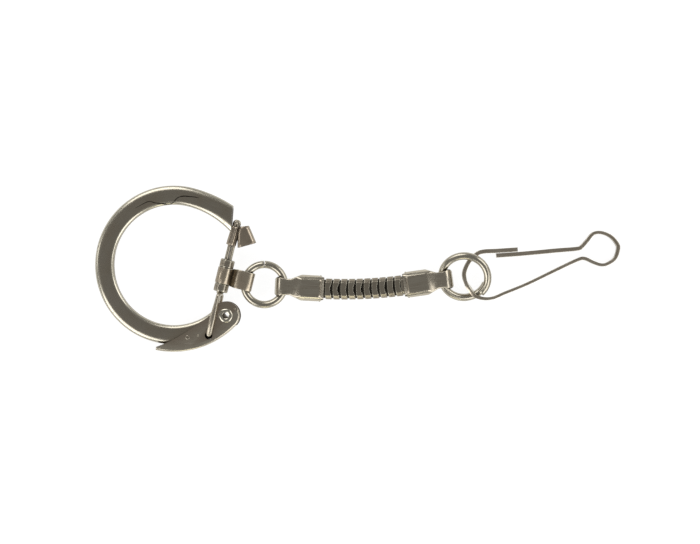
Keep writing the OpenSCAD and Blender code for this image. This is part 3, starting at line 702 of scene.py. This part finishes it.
gate = {
    "wire": 0.75, "strandX": 0.385, "strandZ": 2.145, "corner": 0.42,
    "hammered": 0.5, "topHammered": 0.2,  # how much wider the wire is than round, on the lever and at its top
    "footR": 0.72, "footZ": 1.055, "leverHead": 2.8,
    "stray": 0.3,  # how far the lower strand stands to the side of the upper one
    "bend": [(0.12, 1.475), (0.5, 1.72), (1.7, 2.1), (3.0, 2.28), (4.6, 2.26)],  # height of the wire over its foot
}
gate["headFar"] = (pivot - foot).length + gate["leverHead"]
gate["bendY"] = clasp["gateLen"] - gate["strandX"] - gate["wire"] / 2
gate["spreadY"] = gate["headFar"] + 0.384 * gate["wire"]
gate["gatherY"] = gate["spreadY"] + 0.4 * gate["wire"]


def makeGate():
    g, r = gate, gate["wire"] / 2

    def strand(s):
        return [Vector(p) for p in (
            *((g["stray"] * (s < 0) * min(1, y / 3), y, s * z) for y, z in g["bend"]),
            (g["stray"] * (s < 0), g["spreadY"], s * g["strandZ"]),
            (s * r, g["gatherY"], s * r),
            (s * g["strandX"], g["gatherY"] + g["wire"], 0), (s * g["strandX"], g["bendY"], 0),
        )]

    bend = [Vector((-g["strandX"] * math.cos(a), g["bendY"] + g["strandX"] * math.sin(a), 0))
            for a in (math.pi * i / 12 for i in range(1, 12))]
    points = roundCorners(strand(-1), g["corner"]) + bend + roundCorners(strand(1), g["corner"])[::-1]
    dense = [points[0]]
    for a, b in zip(points, points[1:]):
        parts = max(1, int((b - a).length / 0.8))
        dense += [a.lerp(b, (i + 1) / parts) for i in range(parts)]
    # the wire is hammered a little flat where it lies against the lever, and less so round its top
    frames = []
    for i, (place, side, lift, ahead, _, _) in enumerate(stations(dense, Vector((0, 0, 1)))):
        if place.y < g["gatherY"] + g["wire"]:
            side = Vector((-1 if i < len(dense) / 2 else 1, 0, 0))
            side = (side - ahead * side.dot(ahead)).normalized()
            lift = ahead.cross(side)
        flat = max(0.0, min(1.0, (g["spreadY"] - 1.0 - place.y) / 4.0)) * g["hammered"] if abs(place.z) > 1 else 0.0
        if place.y > g["bendY"] - 0.4:
            flat = g["topHammered"]
        frames.append((place, side, lift, ahead, 1 + flat, 1 - 0.5 * flat))
    piece = Piece("gateWire", gatePlace)
    dome = [(r * math.sin(a), math.cos(a)) for a in (0.97 * math.pi / 2 * i / 5 for i in range(1, 6))]
    piece.sweep(shapedEnds(frames, dome), roundProfile(r, 18))
    for s in (-1, 1):  # the wire's feet are spread a little inside the lever's cheeks
        # each foot is a disc painted dark, which stands for the shade inside the lever's hole
        middle, high = s * g["footZ"], 0.03
        piece.turned(Matrix.Identity(4), [
            (0.02, middle - high, -1), (g["footR"] - 0.05, middle - high, -1), (g["footR"], middle, -1),
            (g["footR"] - 0.05, middle + high, -1), (0.02, middle + high, -1),
        ], 24)
    piece.finish("gate", gateNickel, "gate_wire", "gate_bail", sharp=60)


makeGate()


# gate catch: sheet folded round the far strand, with a hollow thumb tab

catch = {
    "sheath": (18.451, 22.251),
    "folds": [(-0.4, 0.52, 0.6), (0.2, 0.44, 0.62), (0.72, 0.34, 0.42)],  # middle, half width and height of each
    "bow": 0.22, "skew": 0.5,
    "tabAt": (0.425, clasp["gateLen"] - 4.1), "tabTurn": 37.0, "tabReach": 3.78, "tabLen": 3.7, "tabH": 2.3,
    "sheet": 0.3, "sheathSheet": 0.12, "farRoll": 1.1, "nearRoll": 0.85, "nearTop": 0.8, "nearFoot": 1.5,
    "nearPower": 1.6, "rim": 0.05,
}


def makeCatch():
    c = catch
    piece = Piece("gateCatch", gatePlace)

    def tube(outer, inner, outerWearAndShade):
        # a sheet as two surfaces, joined at both ends; its rims are darkened and its inner surface carries painted
        # shade; each is a list of closed loops
        made = []
        for rows, wear in ((outer, outerWearAndShade), (inner, lambda p: -0.7)):
            made.append([
                [piece.point(p, -0.5 if i in (0, len(rows) - 1) else wear(p), (p.y, p.x, p.z)) for p in row]
                for i, row in enumerate(rows)
            ])
            piece.grid(made[-1])
        for end in (0, -1):
            piece.grid([made[0][end], made[1][end]])

    def outline(points, radii, steps=7):
        # a closed outline with its own radius at each corner
        out = []
        for i, here in enumerate(points):
            into, away = points[i - 1] - here, points[(i + 1) % len(points)] - here
            a, b = here + into.normalized() * radii[i], here + away.normalized() * radii[i]
            out += [a.lerp(here, s / steps).lerp(here.lerp(b, s / steps), s / steps) for s in range(steps + 1)]
        return out

    # the sheath hugs both strands and folds once more beside them
    def sheathLoop(y, inset):
        share = (y - c["sheath"][0]) / (c["sheath"][1] - c["sheath"][0])
        folds = [(x - c["bow"] * (1 - share), w - inset, h - inset) for x, w, h in c["folds"]]
        left, right = folds[0][0] - folds[0][1], folds[-1][0] + folds[-1][1]
        out = []
        for i in range(60):
            t = i / 30 if i <= 30 else 2 - i / 30
            x = left + (right - left) * (0.5 - 0.5 * math.cos(math.pi * t))
            z = max(h * math.sqrt(max(0.0, 1 - ((x - at) / w) ** 2)) for at, w, h in folds)
            out.append(Vector((x, y, z if i < 30 else -z)))
        return out

    low, high = c["sheath"]
    places = [low, low + 0.06] + [low + (high - low) * i / 8 for i in range(1, 8)] + [high - 0.06, high]
    # the outer sheet past x 0.55 is painted dark as the shade in the fold; the rest is a little rubbed
    tube(
        [sheathLoop(y, c["rim"] if y in (low, high) else 0.0) for y in places],
        [sheathLoop(y, c["sheathSheet"]) for y in places], lambda p: -0.5 if p.x > 0.55 else 0.15,
    )

    # the thumb tab: one rolled sheet, open at both ends
    out = direction(c["tabTurn"])
    across = Vector((-out.y, out.x, 0))
    lean = math.radians(c["tabTurn"])

    def tabLoop(v, inset):
        share = 0.5 - v / c["tabLen"]
        x = c["nearTop"] + (c["nearFoot"] - c["nearTop"]) * share ** c["nearPower"]
        near = (x - c["tabAt"][0] + v * math.sin(lean)) / math.cos(lean) + inset
        far, h = c["tabReach"] - inset, c["tabH"] / 2 - inset
        loop = outline(
            [Vector((near, 0, h)), Vector((far, 0, h)), Vector((far, 0, -h)), Vector((near, 0, -h))],
            [c["nearRoll"], c["farRoll"] - inset, c["farRoll"] - inset, c["nearRoll"]],
        )
        at = Vector((*c["tabAt"], 0))
        return [
            at + out * p.x + across * (v + c["skew"] * (0.55 - (p.x - near) / (far - near))) + Vector((0, 0, p.z))
            for p in loop
        ]

    half = c["tabLen"] / 2
    places = [-half, 0.07 - half] + [half * i / 3 for i in range(-2, 3)] + [half - 0.07, half]
    tube(
        [tabLoop(v, c["rim"] if abs(v) == half else 0.0) for v in places],
        [tabLoop(v, c["sheet"]) for v in places], lambda p: 0.1,
    )
    piece.finish("gate", catchNickel, "catch_sheet", "gate_catch")


makeCatch()


# swivel sleeve: rolled tube with a seam

sleeve = {
    "length": 6.6, "outR": 1.45, "boreR": 1.0, "grooveR": 1.175, "grooveW": 3.3, "rise": 0.9,
    "flats": 7, "flatDepth": 0.03, "seamAt": 2.3, "seamDepth": 0.05, "seamHalf": 0.06,
}
sleeveMid = gate["headFar"] + sleeve["rise"] + sleeve["length"] / 2
sleevePlace = gatePlace @ move(0, sleeveMid) @ turn(90, "X")


def makeSleeve():
    s, half, step = sleeve, sleeve["length"] / 2, sleeve["grooveW"] / 2
    piece = Piece("swivelSleeve")
    outer, bore = s["outR"], s["boreR"]

    # the bore and the groove are painted dark as shade; the collars' edges are rubbed bright
    def collar(sign):
        return [
            (bore, sign * (half - 0.3), -0.7), (bore, sign * (half - 0.06), -0.5), (bore + 0.06, sign * half, 0),
            (outer - 0.2, sign * half, 0.2), (outer - 0.06, sign * (half - 0.06), 0.6),
            (outer, sign * (half - 0.2), 0.4), (outer, sign * (half - 0.6), 0),
            (outer, sign * (step + 0.3), 0), (outer, sign * (step + 0.12), 0.6),
            (outer - 0.05, sign * (step + 0.03), 1), (outer - 0.12, sign * step, 0.6),
            (s["grooveR"], sign * step, -0.6),
        ]

    profile = collar(-1) + collar(1)[::-1]

    def shape(a):
        facet = 1 - s["flatDepth"] * (0.5 - 0.5 * math.cos(s["flats"] * a))
        gap = abs((a - s["seamAt"] + math.pi) % (2 * math.pi) - math.pi)
        return facet - (s["seamDepth"] if gap < s["seamHalf"] else 0)

    piece.turned(sleevePlace, profile, 112, shape)
    piece.finish("sleeve", sleeveNickel, "sleeve_tube", "swivel_sleeve", sharp=50)


makeSleeve()


# link strap: one band round the sleeve, pinched, and bent into a loop

strap = {
    "sheet": 0.3, "inR": 1.225, "pinch": 1.17, "sleeveW": 3.2, "loopW": 3.7, "loopLen": 4.1, "loopH": 3.4,
    "neckIn": 0.45, "slant": 0.72, "facet": 0.95, "fall": 0.46,  # how the loop's walls lean at neck and far end
    "mouth": 0.32, "corner": 0.55,
}
loopX = strap["inR"] + strap["sheet"] * (1 + strap["pinch"])
strapLevel = math.degrees(math.atan(math.cos(math.radians(clasp["gateLean"])) * math.tan(math.radians(claspTilt))))
strapPlace = gatePlace @ move(0, sleeveMid) @ turn(strapLevel, "Y") @ turn(90, "X")


def makeStrap():
    s, t = strap, strap["sheet"]
    r = s["inR"] + t / 2
    high = s["loopH"] / 2 - t / 2
    left, right = loopX + t / 2, loopX + s["loopLen"] - t / 2
    opening = math.asin(t / 2 / r) + s["mouth"]
    wrap = [Vector((r * math.cos(a), r * math.sin(a), 0)) for a in
            (opening + 2 * (math.pi - opening) * i / 40 for i in range(41))]
    half = [Vector(p) for p in (
        (loopX - s["neckIn"], t / 2 + 0.005, 0), (left - s["neckIn"], t / 2 + 0.005, 0), (left + s["slant"], high, 0),
        (right - s["facet"], high, 0), (right, high - s["fall"], 0), (right, 0, 0),
    )]
    under = [Vector((p.x, -p.y, 0)) for p in half]
    path = wrap + roundCorners(under, s["corner"], 8) + roundCorners(half, s["corner"], 8)[::-1][1:]
    frames = []
    for place, side, lift, ahead, wide, _ in stations(path, Vector((0, 0, 1)), closed=True):
        reach = min(1, max(0, (place.x - r * 0.7) / 1.1))
        width = s["sleeveW"] + (s["loopW"] - s["sleeveW"]) * reach * reach * (3 - 2 * reach)
        frames.append((place, side, lift, ahead, 1.0, width / s["loopW"]))
    piece = Piece("linkStrap", strapPlace)
    piece.sweep(frames, boxProfile(t, s["loopW"], 0.1), closed=True)
    piece.finish("strap", strapNickel, "strap_sheet", "link_strap", sharp=50)


makeStrap()


# jump rings

rings = {
    "wire": 1.5, "aR": 4.0, "split": 0.12, "trim": 0.05, "aSeat": 0.27, "aHeading": 1.5,
    "bR": 4.6, "bOval": 0.95, "bSeat": 0.3, "tiltB": 13.5, "lap": 6.5, "from": -45, "to": -21,
    "burrA": [(0.04, 0.97), (0.07, 0.88)], "burrB": [(-0.1, 1.0), (-0.03, 0.96), (0, 0.86)],  # the sheared ends
}
wireBow = rings["aR"] * (1 - math.cos(math.asin(strap["loopW"] / rings["aR"] / 2)))
wireReach = loopX + strap["loopLen"] - strap["sheet"] - rings["wire"] / 2 - rings["aSeat"] - wireBow
sleeveAt = (gatePlace @ move(0, sleeveMid)).translation
ringAAt = sleeveAt + (wireReach + rings["aR"]) * direction(rings["aHeading"] - clasp["gateLean"])


def makeRingA():
    gap = math.degrees((rings["split"] / 2 + rings["trim"]) / rings["aR"])
    path = [ringAAt + rings["aR"] * direction(90 + gap + (360 - 2 * gap) * i / 96) for i in range(97)]
    frames = shapedEnds(stations(path, Vector((0, 0, 1))), rings["burrA"])
    piece = Piece("jumpRingChain")
    piece.sweep(frames, roundProfile(rings["wire"] / 2, 24))
    piece.finish("ring_a", wireNickel, "jump_wire", "jump_ring_a", sharp=50)


makeRingA()


# end caps and snake chain

chain = {"count": 10, "pitch": 1.55, "start": -3.0, "step": 1.0, "capLen": 8.15}
capAAt = Vector((ringAAt.x, ringAAt.y, midZ)) + rings["aR"] * direction(2 * chain["start"])
joints = [capAAt + chain["capLen"] * direction(chain["start"])]
for k in range(1, chain["count"] + 1):
    joints.append(joints[-1] + chain["pitch"] * direction(chain["start"] + k * chain["step"]))
chainTurn = chain["start"] + (chain["count"] + 1) * chain["step"]
capBAt = joints[-1] + chain["capLen"] * direction(chainTurn)
capAPlace = move(capAAt) @ turn(chain["start"], "Z")
capBPlace = move(capBAt) @ turn(180 + chainTurn, "Z")


caps = {
    "mouthIn": (0.27, 0.135), "rimRoll": 0.12, "edgeRoll": 0.24, "sheetRoll": 0.06,
    "bead": 0.24, "beadAt": 0.74, "beadW": 4.82, "beadChamfer": 0.85, "beadCorner": 0.2,  # pressed round the mouth
}


def softOctagon(width, chamfer, corner=0.09):
    # points round a chamfered square, with soft corners and extra points along its flats
    h, c = width / 2, chamfer
    corners = [Vector(p) for p in (
        (c - h, h), (h - c, h), (h, h - c), (h, c - h), (h - c, -h), (c - h, -h), (-h, c - h), (-h, h - c),
    )]
    points = []
    for i, here in enumerate(corners):
        before, after = corners[i - 1], corners[(i + 1) % 8]
        a, b = here + (before - here).normalized() * corner, here + (after - here).normalized() * corner
        points += [a.lerp(here, t).lerp(here.lerp(b, t), t) for t in (0, 0.5, 1)]
        if i in (0, 2, 4, 6):
            far = after + (here - after).normalized() * corner
            points += [b.lerp(far, t / 9) for t in range(1, 9)]
    return points


def makeCaps():
    c = caps
    for name, node, body, place, short in (
        ("endCapRing", "end_cap_a", "cap_a", capAPlace, c["mouthIn"][0]),
        ("endCapHook", "end_cap_b", "cap_b", capBPlace, c["mouthIn"][1]),
    ):
        mouth = chain["capLen"] - short

        def onBody(at):
            return at.x < mouth - 0.05 and max(abs(at.y), abs(at.z)) > 1.7

        piece = Piece(name)
        softened(piece, node, [
            (c["edgeRoll"], 4, 12, onBody, 0.7), (c["rimRoll"], 3, 25, lambda at: at.x < mouth + 0.02, 1.0),
            (c["sheetRoll"], 2, 40, anywhere, 0.5),
        ], place)
        bead = [
            place @ Vector((mouth - c["beadAt"], p.x, p.y))
            for p in softOctagon(c["beadW"], c["beadChamfer"], c["beadCorner"])
        ]
        frames = stations(bead, place.to_3x3() @ Vector((1, 0, 0)), closed=True)
        piece.sweep(frames, roundProfile(c["bead"], 10), closed=True)
        piece.finish(body, capNickel, "cap_sheet", node, sharp=30)


makeCaps()


# each link: a skirt that covers the next one's nest, and a flanged neck that is trapped inside that nest

links = {
    "width": 4.1, "chamfer": 0.75, "edge": 0.135, "bow": 0.2, "dish": 0.35, "skirt": 0.16, "nestGap": 0.07,
    "nestLen": 0.42, "nestWall": 0.25, "neck": 2.6, "neckChamfer": 0.45, "lipGap": 0.09, "neckT": 0.2,
    "flange": 2.92, "flangeX": -0.0418, "plateX": -0.636, "lip": 0.06, "lensReach": 1.15, "lens": (0.05, 0.33),
}


def bowed(depth, y):
    half = links["width"] / 2
    r = (half**2 + depth**2) / (2 * depth)
    return r - math.sqrt(r * r - min(abs(y), half) ** 2)


def makeLinks():
    g = links
    skirtIn, lip = g["width"] - 2 * g["skirt"], g["lip"]
    skirtC = g["chamfer"] - g["skirt"] / 2
    nest, nestC = skirtIn - 2 * g["nestGap"], skirtC - g["nestGap"] / 2
    room, roomC = nest - 2 * g["nestWall"], nestC - g["nestWall"] / 2
    neck, neckC, flange = g["neck"], g["neckChamfer"], g["flange"]
    mouth, back = neck + 2 * g["lipGap"], chain["pitch"]
    front, plate, trap = -g["nestLen"], back + g["plateX"], back + g["flangeX"]
    w, c, t = g["width"], g["chamfer"], g["neckT"]
    for k in range(1, chain["count"] + 1):
        lens = random.uniform(*g["lens"]) if k % 3 else g["lens"][0]
        reach = g["lensReach"] * random.uniform(0.8, 1.1)
        # each station: where it stands, width, chamfer, wear, which below zero is painted shade inside the joint;
        # "front" and "rear" follow the curved edges
        line = [
            ("flat", plate - t, 0.4, 0.1, -0.5), ("flat", plate - t, room, roomC, -0.5),
            ("flat", front + t, room, roomC, -0.5), ("flat", front + t, mouth, neckC, -0.3),
            ("flat", front, mouth, neckC, 0.0), ("flat", front, nest - 0.1, nestC, -0.6),
            ("flat", front + 0.05, nest, nestC, -0.8), ("front", 0.04, nest, nestC, -0.9),
            ("front", 0.0, nest + 0.06, nestC, -0.2), ("front", 0.0, w - 2 * lip, c, 1.0),
            ("front", 0.02, w - 0.7 * lip, c, 1.0), ("front", lip, w, c, 0.9),
            ("front", 0.2, w, c, 0.0), ("rear", -0.14, w, c, 0.0),
            ("rear", -lip, w, c, 0.7), ("rear", -0.01, w - 0.7 * lip, c, 1.0),
            ("rear", 0.0, w - 2 * lip, c, 0.6), ("rear", 0.0, skirtIn, skirtC, -0.6),
            ("flat", plate, skirtIn, skirtC, -1.0), ("flat", plate, neck, neckC, -1.0),
            ("flat", trap, neck, neckC, -1.0), ("flat", trap, flange, neckC, -0.8),
            ("flat", trap + t, flange, neckC, -0.6), ("flat", trap + t, 0.4, 0.1, -0.6),
        ]
        piece = Piece(f"chainLink{k}", move(joints[k - 1]) @ turn(chain["start"] + k * chain["step"], "Z"))
        rows = []
        for kind, x, width, chamfer, wear in line:
            row = []
            for p in softOctagon(width, chamfer, min(0.09, chamfer / 3)):
                at = x
                if kind == "front":
                    at += g["edge"] - g["bow"] + bowed(g["bow"], p.x)
                elif kind == "rear":
                    hollow = lens * max(0.0, 1 - (p.x / reach) ** 2) if abs(p.y) > width / 2 - 0.05 else 0.0
                    at += back - g["edge"] - g["dish"] + bowed(g["dish"], p.x) - hollow
                row.append(piece.point((at, p.x, p.y), wear, (at, p.x, p.y)))
            rows.append(row)
        piece.grid(rows)
        piece.caps(rows)
        piece.finish(f"link_{k}", linkNickel, "chain_link", f"link_{k}")


makeLinks()

ringBAt = capBAt + (rings["bR"] - rings["bSeat"]) * direction(chainTurn)


def makeRingB():
    big, path, count = rings["bR"], [], 110
    for i in range(count + 1):
        a = rings["from"] + (360 + rings["to"] - rings["from"]) * i / count
        tilt = -rings["lap"] if a < 180 else rings["lap"]
        at = (move(-big) @ turn(tilt, "Y") @ move(big)) @ (big * direction(a))
        path.append(Vector((at.x, rings["bOval"] * at.y, at.z)))
    piece = Piece("jumpRingHook", move(ringBAt) @ turn(rings["tiltB"], "X"))
    piece.sweep(shapedEnds(stations(path), rings["burrB"], 2), roundProfile(rings["wire"] / 2, 24))
    piece.finish("ring_b", wireNickel, "jump_wire", "jump_ring_b", sharp=50)


makeRingB()


# spring hook: one strip from the short arm round the nose and the eye to the free end of the spring arm

hook = {
    "length": 30.8, "thick": 0.0243 * 30.8, "wide": 1.3, "roll": 0.07, "steps": 8,
    # the value after the twist is the twist angle at which the inner face's painted highlight is full
    "twist": (7.3, 1.0, 20.0), "sheenFrom": 14,  # a slight twist in the strip: place along the body, reach, angle
    # places as shares of the length, and widths as shares of the thickness
    "body": [
        (0.342, 0.176, 1.14), (0.206, 0.167, 1.14), (0.125, 0.163, 1.12), (0.079, 0.148, 1.08), (0.027, 0.098, 1.05),
        (-0.003, 0.032, 1.05), (0.001, -0.024, 1.05), (0.027, -0.072, 1.0), (0.067, -0.121, 0.95),
        (0.121, -0.141, 0.85), (0.183, -0.137, 0.78), (0.258, -0.106, 0.76), (0.403, -0.047, 0.76),
        (0.576, 0.036, 0.8), (0.725, 0.106, 0.85), (0.777, 0.118, 0.9), (0.838, 0.092, 0.85), (0.885, 0.077, 0.82),
        (0.924, 0.082, 0.82), (0.976, 0.118, 0.88), (0.998, 0.181, 1.0), (0.989, 0.216, 0.98), (0.947, 0.262, 0.88),
        (0.885, 0.286, 0.84), (0.833, 0.277, 0.86), (0.794, 0.232, 0.92), (0.758, 0.193, 0.98),
    ],
    "arm": [
        (0.729, 0.181, 1.05), (0.600, 0.170, 1.14), (0.476, 0.158, 1.14), (0.340, 0.146, 1.14), (0.203, 0.1365, 1.14),
    ],
}
hookSag = math.degrees(math.asin((midZ - hook["wide"] / 2) / hook["length"]))
hookPlace = move(ringBAt) @ turn(hookSag, "Y")


def makeHook():
    h, long = hook, hook["length"]
    path = smoothPath([Vector((x * long, y * long, w)) for x, y, w in h["body"] + h["arm"]], h["steps"])
    at, reach, angle = h["twist"]
    frames, rubbedAndSheen = [], []
    line = stations([Vector((p.x, p.y, 0)) for p in path], Vector((0, 0, 1)))
    for i, (place, side, lift, ahead, _, _) in enumerate(line):
        turned = angle * math.exp(-((i / h["steps"] - at) / reach) ** 2)
        twist = Matrix.Rotation(math.radians(turned), 3, ahead)
        frames.append((place, twist @ side, twist @ lift, ahead, path[i].z, 1.0))
        rubbedAndSheen.append(min(1.0, turned / h["sheenFrom"]))
    piece = Piece("springHook", hookPlace)
    rows = piece.sweep(frames, boxProfile(h["thick"], h["wide"], h["roll"]))
    for row, share in zip(rows, rubbedAndSheen):  # the inner face gets a painted highlight where the strip twists, a painted reflection of the table
        for v in row[2:6]:
            v[piece.wear] = max(v[piece.wear], share)
    obj = piece.finish(None, stripNickel, "spring_strip", "spring_hook", "spring_arm", sharp=50)
    # the points where the body ends and the arm begins, which nothing here uses
    bend, tail = (Vector((x * long, y * long, 0)) for x, y, _ in (h["body"][-1], h["arm"][0]))
    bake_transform(obj)


makeHook()
